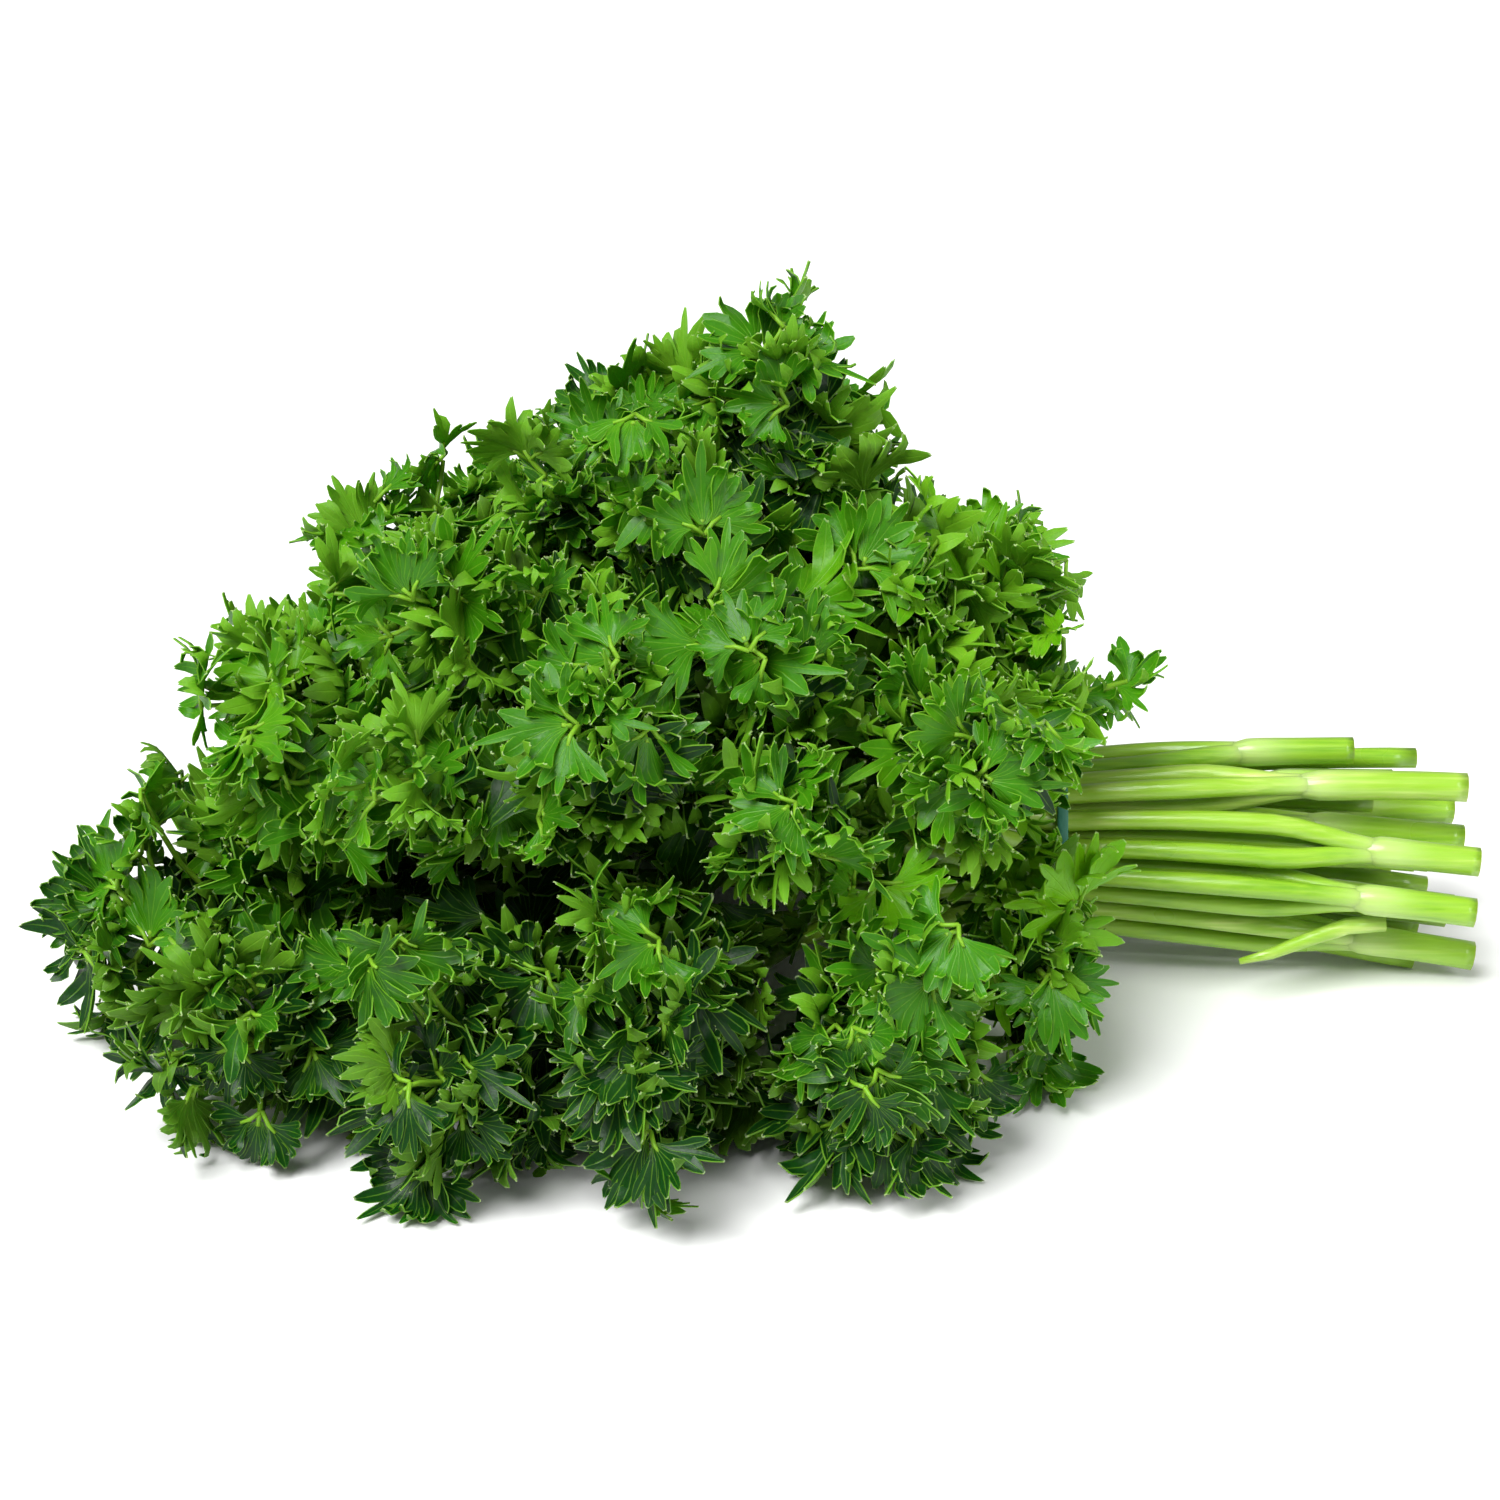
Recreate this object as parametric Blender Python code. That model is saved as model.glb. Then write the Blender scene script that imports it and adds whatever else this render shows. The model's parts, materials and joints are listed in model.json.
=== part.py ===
"""A tied bunch of curly parsley, lying on its side with its cut ends towards +X.

Thirty-seven petioles stand in a honeycomb where the band ties them. Towards +X they come
together into stalks with cut ends. Towards -X they fan out, and each one ends at the foot of
its own leaf blade. Everything is laid out from the middle of the band, and the finished bunch
is moved so that the origin is at the bottom centre of its box. Metres, +Z up.
"""

import math

import bmesh
import bpy
import numpy as np
from mathutils import Matrix, Vector
from mathutils.bvhtree import BVHTree

# The band, and the honeycomb of petioles that it holds
BAND_HEIGHT = 0.0262  # middle of the band above the surface
BAND_THICKNESS = 0.0012
BAND_WIDTH = 0.0024
BAND_CLEARANCE = 0.0004
BAND_SIDES = 36
RINGS = 3  # rings of petioles round the middle one
PITCH_AT_BAND = 0.0051
PITCH_AT_CUT = 0.0079
PETIOLE_RADIUS = 0.0020
PETIOLE_TOP_RADIUS = 0.0015
TUBE_RESOLUTION = 1  # a bevel resolution of 1 gives a tube of 8 sides

# The stalks: petioles by their place in the honeycomb, counted row by row from the bottom
STALKS = (
    (0, 4, 5), (9, 15, 16), (22, 23, 28), (29, 33, 34), (2, 3, 7),
    (10, 11), (17, 18), (24, 25), (30, 31), (35, 36), (13, 14), (20, 21),
    (1,), (6,), (8,), (12,), (19,), (26,), (27,), (32,),
)
CUT_X = 0.083  # the longest cut ends, from the band
CUT_SHORTER = (0, 0.002, 0.001, 0.003, 0.009, 0.004, 0.012, 0.002, 0.016, 0.024,
               0.006, 0.001, 0.011, 0.004, 0.014, 0.008, 0.003, 0.019, 0.005, 0.010)
FORK_BACK = (0.022, 0.020, 0.018, 0.031, 0.024, 0.026, 0.018, 0.029, 0.022, 0.020, 0.027, 0.022)
FORK_LENGTH = 0.024  # over which the petioles of one stalk come together
STALK_RADIUS = {1: 0.0022, 2: 0.0026, 3: 0.0028}
CUT_DROOP = 0.0050  # how far the bundle has sunk at its cut ends
CUT_SWAY = 0.0016  # how far each cut end leans out of its row
SWAY_STARTS = 0.015

# The leafy part: an egg-shaped mound round the petioles' tips
MOUND_CENTRE = Vector((-0.097, -0.017, 0.004))
MOUND_HALF = Vector((0.112, 0.104, 0.105))
FAN_CENTRE = Vector((-0.028, 0.0, 0.0))  # the petioles spread as if from here
BLADE_SPREAD_SEED = 5
REACH_VARIES = 0.045  # blades end this share inside or outside the mound's surface
# Where the mound isn't egg-shaped: a way from the fan's centre, the share that blades reach further
# there (or less far, where it is negative), and how widely that spreads
BULGES = (
    (Vector((-0.28, 0.10, 0.95)), 0.20, 0.035),
    (Vector((-0.88, 0.00, 0.47)), -0.16, 0.09),
    (Vector((-0.70, 0.00, 0.71)), -0.08, 0.05),
    (Vector((0.60, -0.78, -0.15)), -0.32, 0.10),
    (Vector((0.55, 0.10, 0.83)), -0.16, 0.10),
    (Vector((-0.17, -0.97, -0.16)), 0.08, 0.03),
)
LOWEST_BLADE = -0.006  # the lowest that a blade's middle lies, from the band's middle
BLADE_STARTS = 0.46  # of the way from the fan's centre to the mound's surface
BLADE_GAP = 0.0016  # between neighbouring blades
BLADES_END = 0.003  # how far the blades nearest the cut ends reach past the band
BUNDLE_CLEARANCE = 0.0235  # from the bundle's axis to the blades beside it
UNDER_SURFACE = 0.014  # blades are shaped this far below the surface, then cut flat on it
TIP_GAP = 0.0011  # from a petiole's tip to its blade


def new_object(name, mesh, material):
    obj = bpy.data.objects.new(name, mesh)
    bpy.context.scene.collection.objects.link(obj)
    mesh.materials.clear()
    mesh.materials.append(material)
    return obj


def plain_material(name, colour, roughness):
    material = bpy.data.materials.new(name)
    material.use_nodes = True
    shader = material.node_tree.nodes["Principled BSDF"]
    shader.inputs["Base Color"].default_value = (*colour, 1.0)
    shader.inputs["Roughness"].default_value = roughness
    shader.inputs["Metallic"].default_value = 0.0
    return material


def evaluated_mesh(obj):
    """The object's mesh with its modifiers applied, as a mesh of its own."""
    bpy.context.view_layer.update()
    graph = bpy.context.evaluated_depsgraph_get()
    return bpy.data.meshes.new_from_object(obj.evaluated_get(graph))


# ---- the honeycomb and the petioles' routes ----


def honeycomb():
    """Places of the petioles across the bundle, as (y, z) in pitches, row by row from the bottom."""
    places = []
    for row in range(-RINGS, RINGS + 1):
        for column in range(-RINGS, RINGS + 1):
            if abs(row + column) <= RINGS:
                places.append((column + row / 2, row * math.sqrt(3) / 2))
    return np.array(places)


def smooth_step(value, start, end):
    share = min(1.0, max(0.0, (value - start) / (end - start)))
    return share * share * (3 - 2 * share)


def bundle_point(number, place, middle, x, fork_x):
    """Where a stalk's petiole is, x beyond the band: it nears the stalk's middle at the fork."""
    share = x / CUT_X
    pitch = PITCH_AT_BAND + (PITCH_AT_CUT - PITCH_AT_BAND) * share ** 0.8
    merged = 0.86 * smooth_step(x, fork_x - FORK_LENGTH, fork_x)
    y, z = (np.array(place) * (1 - merged) + np.array(middle) * merged) * pitch
    sway = CUT_SWAY * smooth_step(x, SWAY_STARTS, CUT_X)
    y += sway * math.cos(number * 2.4)
    z += sway * math.sin(number * 2.4) - CUT_DROOP * share * share
    return Vector((x, y, z))


def bezier(start, first, second, end, count):
    """Points of one cubic curve, from start to end."""
    points = []
    for t in np.linspace(0, 1, count):
        s = 1 - t
        points.append(start * s**3 + first * 3 * s * s * t + second * 3 * s * t * t + end * t**3)
    return points


def fan_route(place, foot, direction, count):
    """A petiole's route from the band to the foot of its blade."""
    start = Vector((0, *(np.array(place) * PITCH_AT_BAND)))
    reach = (foot - start).length
    first = start + Vector((-1, start.y * 7, start.z * 7)).normalized() * reach * 0.33
    return bezier(start, first, foot - direction * reach * 0.36, foot, count)


# ---- where the blades are ----


def mound_points(count, rng):
    """Points spread evenly over the mound, leaving out what lies under it and round the stalks."""
    points = []
    while len(points) < count:
        direction = Vector(rng.normal(size=3)).normalized()
        # a larger share of the tries is kept where the surface is larger
        across = Vector(direction[i] / MOUND_HALF[i] for i in range(3)).length
        if rng.random() > across * min(MOUND_HALF):
            continue
        point = Vector(MOUND_CENTRE[i] + direction[i] * MOUND_HALF[i] for i in range(3))
        round_stalks = point.x > -0.02 and math.hypot(point.y, point.z) < 0.052
        if point.z > LOWEST_BLADE and not round_stalks:
            points.append(point)
    return np.array([list(point) for point in points])


def blade_tips(count):
    """One tip for each blade, evenly apart: each settles at the mean of the points nearest it."""
    rng = np.random.default_rng(BLADE_SPREAD_SEED)
    points = mound_points(4000, rng)
    tips = points[rng.choice(len(points), count, replace=False)]
    for _ in range(40):
        nearest = np.linalg.norm(points[:, None] - tips[None], axis=2).argmin(axis=1)
        tips = np.array([points[nearest == i].mean(axis=0) for i in range(count)])
    return tips


def match_to_bundle(places, directions):
    """Gives each petiole a blade on its own side of the bundle, so that no two petioles cross."""
    order = np.arange(len(places))
    across = directions[:, 1:]
    for _ in range(60):
        swapped = False
        for i in range(len(order)):
            for j in range(i + 1, len(order)):
                gain = (places[i] - places[j]) @ (across[order[j]] - across[order[i]])
                if gain > 1e-9:
                    order[i], order[j] = order[j], order[i]
                    swapped = True
        if not swapped:
            break
    return order


# ---- the solids ----


def cut_by(bm, point, normal):
    """Cuts away what lies beyond the plane, and closes the cut."""
    geometry = bm.verts[:] + bm.edges[:] + bm.faces[:]
    cut = bmesh.ops.bisect_plane(
        bm, geom=geometry, plane_co=point, plane_no=normal, clear_outer=True, dist=1e-6
    )
    rim = [item for item in cut["geom_cut"] if isinstance(item, bmesh.types.BMEdge)]
    if rim:
        bmesh.ops.holes_fill(bm, edges=rim, sides=0)


def blade_solid(name, index, directions, reach, material):
    """A leaf blade's room: a rounded block that widens outwards, flat where it lies on the surface."""
    direction = Vector(directions[index])
    bm = bmesh.new()
    bmesh.ops.create_cube(bm, size=0.8, matrix=Matrix.Translation(FAN_CENTRE))
    cut_by(bm, FAN_CENTRE + direction * reach, direction)
    cut_by(bm, FAN_CENTRE + direction * reach * BLADE_STARTS, -direction)
    cut_by(bm, Vector((0, 0, -BAND_HEIGHT - UNDER_SURFACE)), Vector((0, 0, -1)))
    for other in np.argsort(-(directions @ directions[index]))[1:13]:
        between = (Vector(directions[other]) - direction).normalized()
        cut_by(bm, FAN_CENTRE - between * BLADE_GAP / 2, between)
    cut_by(bm, Vector((BLADES_END, 0, 0)), Vector((1, 0, 0)))
    sideways = Vector((0, direction.y, direction.z))
    if direction.x > -0.72:
        cut_by(bm, sideways.normalized() * BUNDLE_CLEARANCE, -sideways.normalized())
    mesh = bpy.data.meshes.new(name)
    bm.to_mesh(mesh)
    bm.free()
    rounded = new_object(name, mesh, material)
    rounding = rounded.modifiers.new("rounding", "SUBSURF")
    rounding.levels = rounding.render_levels = 1
    bm = bmesh.new()
    bm.from_mesh(evaluated_mesh(rounded))
    cut_by(bm, Vector((0, 0, -BAND_HEIGHT)), Vector((0, 0, -1)))
    bmesh.ops.recalc_face_normals(bm, faces=bm.faces)
    rounded.modifiers.clear()
    bm.to_mesh(mesh)
    bm.free()
    return rounded


def tube_mesh(points, radii):
    """A closed round tube along the points."""
    curve = bpy.data.curves.new("route", "CURVE")
    curve.dimensions = "3D"
    curve.bevel_depth = 1.0
    curve.bevel_resolution = TUBE_RESOLUTION
    curve.use_fill_caps = True
    spline = curve.splines.new("POLY")
    spline.points.add(len(points) - 1)
    for target, point, radius in zip(spline.points, points, radii):
        target.co = (*point, 1.0)
        target.radius = radius
    obj = bpy.data.objects.new("route", curve)
    bpy.context.scene.collection.objects.link(obj)
    mesh = evaluated_mesh(obj)
    bpy.data.objects.remove(obj)
    bpy.data.curves.remove(curve)
    bm = bmesh.new()
    bm.from_mesh(mesh)
    bmesh.ops.remove_doubles(bm, verts=bm.verts, dist=1e-6)
    bmesh.ops.recalc_face_normals(bm, faces=bm.faces)
    bm.to_mesh(mesh)
    bm.free()
    return mesh


def petiole_tube(number, place, middle, fork_x, foot, direction, start_x):
    """A petiole from its stalk to the foot of its blade."""
    points = [bundle_point(number, place, middle, x, fork_x) for x in np.linspace(start_x, 0.012, 6)]
    points += fan_route(place, foot, direction, 9)
    lower = [PETIOLE_RADIUS] * 7
    upper = list(np.linspace(PETIOLE_RADIUS, PETIOLE_TOP_RADIUS, len(points) - 7))
    return tube_mesh(points, lower + upper)


def stalk_solid(name, number, places, feet, directions, material):
    """One stalk: a cut base, and the petioles that grow from it."""
    members = STALKS[number]
    middle = places[list(members)].mean(axis=0)
    cut_x = CUT_X - CUT_SHORTER[number]
    radius = STALK_RADIUS[len(members)]
    if len(members) == 1:
        fork_x = cut_x + FORK_LENGTH  # it never forks
        only = members[0]
        tube = petiole_tube(number, places[only], middle, fork_x, feet[only], directions[only], cut_x)
        return new_object(name, tube, material)
    fork_x = cut_x - FORK_BACK[number]
    base_xs = np.linspace(cut_x, fork_x - 0.004, 4)
    base_points = [bundle_point(number, middle, middle, x, fork_x) for x in base_xs]
    stalk = new_object(name, tube_mesh(base_points, [radius, radius, radius, radius * 0.8]), material)
    helpers = []
    for member in members:
        start_x = fork_x + 0.006
        foot, direction = feet[member], directions[member]
        tube = petiole_tube(number, places[member], middle, fork_x, foot, direction, start_x)
        helper = new_object(f"{name}_petiole_{member}", tube, material)
        union = stalk.modifiers.new("fork", "BOOLEAN")
        union.operation = "UNION"
        union.solver = "EXACT"
        union.object = helper
        helpers.append(helper)
    joined = evaluated_mesh(stalk)
    stalk.modifiers.clear()
    stalk.data = joined
    for helper in helpers:
        bpy.data.objects.remove(helper)
    return stalk


def band_solid(name, places, material):
    """An elastic band round the bundle: a flat loop that follows the honeycomb's rounded outline."""
    corners = [Vector((0, *(place * PITCH_AT_BAND))) for place in places]
    inside = PETIOLE_RADIUS + BAND_CLEARANCE
    outside = inside + BAND_THICKNESS
    left, right = -BAND_WIDTH / 2, BAND_WIDTH / 2
    facing_x = Matrix.Rotation(math.pi / 2, 4, "Y")
    bm = bmesh.new()
    ring = bmesh.ops.create_circle(bm, segments=BAND_SIDES, radius=1.0, matrix=facing_x)["verts"]
    edges = bm.edges[:]
    section = ((inside, left), (inside, right), (outside, right), (outside, left), (inside, left))
    for step, (margin, x) in enumerate(section):
        if step > 0:
            swept = bmesh.ops.extrude_edge_only(bm, edges=edges)["geom"]
            ring = [item for item in swept if isinstance(item, bmesh.types.BMVert)]
            edges = [item for item in swept if isinstance(item, bmesh.types.BMEdge)]
        for vert in ring:
            outward = Vector((0, vert.co.y, vert.co.z)).normalized()
            vert.co = outward * (max(corner.dot(outward) for corner in corners) + margin)
            vert.co.x = x
    bmesh.ops.remove_doubles(bm, verts=bm.verts, dist=1e-6)
    bmesh.ops.recalc_face_normals(bm, faces=bm.faces)
    mesh = bpy.data.meshes.new(name)
    bm.to_mesh(mesh)
    bm.free()
    return new_object(name, mesh, material)


def clear_distance(obj, origin, direction):
    """How far a petiole's blunt tip can go from origin along direction before it meets the object."""
    tree = BVHTree.FromObject(obj, bpy.context.evaluated_depsgraph_get())
    aside = direction.orthogonal().normalized() * PETIOLE_TOP_RADIUS * 1.1
    turns = [Matrix.Rotation(math.radians(turn), 3, direction) for turn in range(0, 360, 30)]
    starts = [origin, *(origin + turn @ aside for turn in turns)]
    hits = [tree.ray_cast(start, direction)[3] for start in starts]
    return min(hit for hit in hits if hit is not None)


def blade_reach(index, direction):
    """How far a blade reaches: near the egg's surface, changed by the bulges and a little by chance."""
    share = 1 + REACH_VARIES * math.sin(index * 2.4)
    for way, rise, spread in BULGES:
        share += rise * math.exp(-(1 - Vector(direction).dot(way.normalized())) / spread)
    return mound_reach(direction) * share


def mound_reach(direction):
    """The distance from the fan's centre to the mound's surface."""
    start = [(FAN_CENTRE[i] - MOUND_CENTRE[i]) / MOUND_HALF[i] for i in range(3)]
    step = [direction[i] / MOUND_HALF[i] for i in range(3)]
    a = sum(s * s for s in step)
    b = sum(s * t for s, t in zip(start, step))
    c = sum(s * s for s in start) - 1
    return (-b + math.sqrt(b * b - a * c)) / a


def box_of(objects):
    corners = [obj.matrix_world @ Vector(c) for obj in objects for c in obj.bound_box]
    low = Vector(min(c[i] for c in corners) for i in range(3))
    high = Vector(max(c[i] for c in corners) for i in range(3))
    return low, high


def main():
    for obj in list(bpy.data.objects):
        bpy.data.objects.remove(obj)
    leaf = plain_material("leaf", (0.10, 0.33, 0.04), 0.45)
    stem = plain_material("stem", (0.42, 0.68, 0.16), 0.35)
    rubber = plain_material("band", (0.13, 0.45, 0.30), 0.5)

    places = honeycomb()
    tips = blade_tips(len(places))
    directions = tips - np.array(FAN_CENTRE)
    directions /= np.linalg.norm(directions, axis=1)[:, None]
    directions = directions[match_to_bundle(places, directions)]

    blades = []
    for index in range(len(places)):
        reach = blade_reach(index, directions[index])
        blades.append(blade_solid(f"leaf_blade_{index + 1:02d}", index, directions, reach, leaf))
    bpy.context.view_layer.update()

    feet, ways = [], []
    for blade in blades:
        low, high = box_of([blade])
        way = ((low + high) / 2 - FAN_CENTRE).normalized()
        feet.append(FAN_CENTRE + way * (clear_distance(blade, FAN_CENTRE, way) - TIP_GAP))
        ways.append(way)

    stalks = [
        stalk_solid(f"stalk_{number + 1:02d}", number, places, feet, ways, stem)
        for number in range(len(STALKS))
    ]
    band = band_solid("elastic_band", places, rubber)

    bpy.context.view_layer.update()
    everything = [*blades, *stalks, band]
    low, high = box_of(everything)
    to_origin = Matrix.Translation(Vector((-(low.x + high.x) / 2, -(low.y + high.y) / 2, -low.z)))
    for obj in everything:
        obj.data.transform(to_origin)
        obj.data.shade_smooth()
        obj.data.set_sharp_from_angle(angle=math.radians(40))


main()
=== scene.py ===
import json
import math
import random

import bmesh
import bpy
import numpy as np
from mathutils import Matrix, Vector
from mathutils.bvhtree import BVHTree

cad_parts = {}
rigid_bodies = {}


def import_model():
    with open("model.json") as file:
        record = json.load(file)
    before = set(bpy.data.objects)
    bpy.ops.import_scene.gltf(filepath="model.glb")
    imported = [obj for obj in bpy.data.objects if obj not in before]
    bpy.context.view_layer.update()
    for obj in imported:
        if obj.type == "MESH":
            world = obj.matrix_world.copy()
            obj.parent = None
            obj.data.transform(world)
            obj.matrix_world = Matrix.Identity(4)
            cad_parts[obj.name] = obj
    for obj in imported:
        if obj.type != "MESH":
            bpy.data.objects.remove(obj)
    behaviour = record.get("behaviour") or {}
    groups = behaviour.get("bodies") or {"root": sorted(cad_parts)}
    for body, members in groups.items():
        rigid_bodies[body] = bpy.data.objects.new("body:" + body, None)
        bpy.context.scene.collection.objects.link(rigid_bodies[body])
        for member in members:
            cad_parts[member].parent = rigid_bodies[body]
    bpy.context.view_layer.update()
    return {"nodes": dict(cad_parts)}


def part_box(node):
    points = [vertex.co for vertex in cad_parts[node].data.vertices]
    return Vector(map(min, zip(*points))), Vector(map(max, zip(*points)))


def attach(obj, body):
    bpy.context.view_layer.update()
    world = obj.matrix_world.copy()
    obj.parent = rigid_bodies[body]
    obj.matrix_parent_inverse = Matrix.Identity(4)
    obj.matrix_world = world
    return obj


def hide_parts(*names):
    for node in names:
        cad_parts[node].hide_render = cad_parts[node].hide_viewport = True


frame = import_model()
nodes = frame["nodes"]
scene = bpy.context.scene


def middleOf(name):
    low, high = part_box(name)
    return (low + high) / 2


bandMiddle = middleOf("elastic_band")
fanMiddle = bandMiddle + Vector((-0.028, 0, 0))  # the petioles spread as if from here


def smooth(value, start, end):
    share = min(1.0, max(0.0, (value - start) / (end - start)))
    return share * share * (3 - 2 * share)


# materials: one small helper, so that each material reads as a list of its steps

def addNode(tree, kind, inputs=(), **settings):
    made = tree.nodes.new(kind)
    for name, value in settings.items():
        setattr(made, name, value)
    for socket, value in dict(inputs).items():
        if isinstance(value, bpy.types.NodeSocket):
            tree.links.new(value, made.inputs[socket])
        else:
            made.inputs[socket].default_value = value
    return made


def maths(tree, operation, first, second=0.0, third=0.0, clamp=False):
    inputs = {0: first, 1: second, 2: third}
    return addNode(tree, "ShaderNodeMath", inputs, operation=operation, use_clamp=clamp).outputs[0]


def noise(tree, place, scale, detail):
    inputs = {"Vector": place, "Scale": scale, "Detail": detail}
    return addNode(tree, "ShaderNodeTexNoise", inputs).outputs["Fac"]


def ramp(tree, value, low, high):
    made = addNode(tree, "ShaderNodeMapRange", {"Value": value, "From Min": low, "From Max": high},
                   interpolation_type="SMOOTHSTEP")
    return made.outputs["Result"]


def mixColour(tree, share, first, second):
    made = addNode(tree, "ShaderNodeMix", data_type="RGBA", clamp_factor=True)
    for socket, value in ((0, share), (6, first), (7, second)):
        if isinstance(value, bpy.types.NodeSocket):
            tree.links.new(value, made.inputs[socket])
        else:
            made.inputs[socket].default_value = value
    return made.outputs[2]


def newMaterial(name, **sockets):
    material = bpy.data.materials.new(name)
    material.use_nodes = True
    tree = material.node_tree
    shader = tree.nodes["Principled BSDF"]
    for socket, value in sockets.items():
        shader.inputs[socket.replace("_", " ")].default_value = value
    return material, tree, shader


# the leaf: green blades with pale veins, edges and tips, and a paler underside

leafColours = {
    "dark": (0.004, 0.034, 0.003, 1),
    "middle": (0.036, 0.170, 0.002, 1),
    "bright": (0.150, 0.400, 0.003, 1),
    "under": (0.150, 0.350, 0.012, 1),
    "vein": (0.170, 0.380, 0.020, 1),
    "edge": (0.170, 0.370, 0.030, 1),
    "tip": (0.600, 0.680, 0.400, 1),
    "stem": (0.170, 0.360, 0.020, 1),
}


def leafMaterial():
    material, tree, shader = newMaterial(
        "curlyLeaf", Roughness=0.42, Specular_IOR_Level=0.19, Subsurface_Weight=0.3,
        Subsurface_Scale=0.0012)
    shader.inputs["Subsurface Radius"].default_value = (0.5, 1.0, 0.08)
    data = addNode(tree, "ShaderNodeAttribute", attribute_name="leafData")
    parts = addNode(tree, "ShaderNodeSeparateColor", {"Color": data.outputs["Color"]})
    under, tint, isStem = (parts.outputs[name] for name in ("Red", "Green", "Blue"))
    place = addNode(tree, "ShaderNodeTexCoord").outputs["Object"]
    along = addNode(tree, "ShaderNodeUVMap", uv_map="toothUV")
    split = addNode(tree, "ShaderNodeSeparateXYZ", {"Vector": along.outputs["UV"]})
    across, up = split.outputs["X"], split.outputs["Y"]

    mottle = noise(tree, place, 260.0, 3.0)
    patch = noise(tree, place, 55.0, 2.0)
    # the tint brings painted light and shade in here: low tints of inner, foot and shaded leaflets go
    # towards the near-black dark colour, lit patches towards bright
    shade = maths(tree, "ADD", tint, maths(tree, "MULTIPLY_ADD", patch, 0.5, -0.25))
    shade = maths(tree, "ADD", shade, maths(tree, "MULTIPLY_ADD", mottle, 0.24, -0.12), clamp=True)
    lower = mixColour(tree, ramp(tree, shade, 0.0, 0.5), leafColours["dark"], leafColours["middle"])
    upper = mixColour(tree, ramp(tree, shade, 0.5, 1.0), lower, leafColours["bright"])
    paler = mixColour(tree, maths(tree, "MULTIPLY_ADD", tint, 0.3, 0.45), upper, leafColours["under"])
    sided = mixColour(tree, under, upper, paler)

    fromRib = maths(tree, "ABSOLUTE", maths(tree, "SUBTRACT", maths(tree, "FRACT", across), 0.5))
    ribWidth = maths(tree, "DIVIDE", 0.055, maths(tree, "MAXIMUM", up, 0.12))
    rib = maths(tree, "SUBTRACT", 1.0, ramp(tree, maths(tree, "DIVIDE", fromRib, ribWidth), 0.4, 1.6))
    ribbed = mixColour(tree, maths(tree, "MULTIPLY", rib, 0.3), sided, leafColours["vein"])
    onTooth = ramp(tree, up, 0.95, 1.15)
    edge = maths(tree, "MULTIPLY", ramp(tree, fromRib, 0.43, 0.49), onTooth)
    edged = mixColour(tree, maths(tree, "MULTIPLY", edge, 0.3), ribbed, leafColours["edge"])
    atTip = maths(tree, "MULTIPLY", ramp(tree, up, 1.95, 2.0), 0.35)
    tipColoured = mixColour(tree, atTip, edged, leafColours["tip"])
    stemmed = mixColour(tree, isStem, tipColoured, leafColours["stem"])
    tree.links.new(stemmed, shader.inputs["Base Color"])

    cells = addNode(tree, "ShaderNodeTexVoronoi", {"Vector": place, "Scale": 1500.0}).outputs["Distance"]
    relief = maths(tree, "MULTIPLY_ADD", rib, -0.7, maths(tree, "MULTIPLY", cells, 0.35))
    bump = addNode(tree, "ShaderNodeBump", {"Height": relief, "Strength": 0.35, "Distance": 0.00025})
    tree.links.new(bump.outputs["Normal"], shader.inputs["Normal"])
    gloss = maths(tree, "MULTIPLY_ADD", mottle, 0.25, maths(tree, "MULTIPLY_ADD", under, 0.16, 0.26))
    tree.links.new(gloss, shader.inputs["Roughness"])
    return material


# one curled, fan-shaped leaflet

fanLook = {
    "kinds": 14,
    "length": 0.0152,
    "innerRows": 2,
    "toothRows": 3,
    "baseHalf": 0.0007,
    "thickness": 0.00025,
    "groove": 0.0003,
    "toothHalf": 0.0014,
    "toothShape": (1.0, 1.1, 0.85, 0.2),  # half widths from a tooth's root to its tip
    "curliness": (0.45, 1.0, 0.7, 1.25, 0.85),
    "foldedTeeth": 0.3,
    "foldedBy": 70,  # degrees more than the other teeth
    "toothCurl": (-35, 105),  # degrees
    "lobeLift": (-0.42, 0.50),
    "lobeNotch": (0.36, 0.48),  # shares of a tooth's reach
    "toothNotch": (0.62, 0.72),
    "outerNotch": 0.52,
    "borderTurn": 0.11,
    "cup": (-0.10, 0.42),
    "ruffle": (0.12, 0.24),
    "sharpFrom": 65,
}


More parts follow.
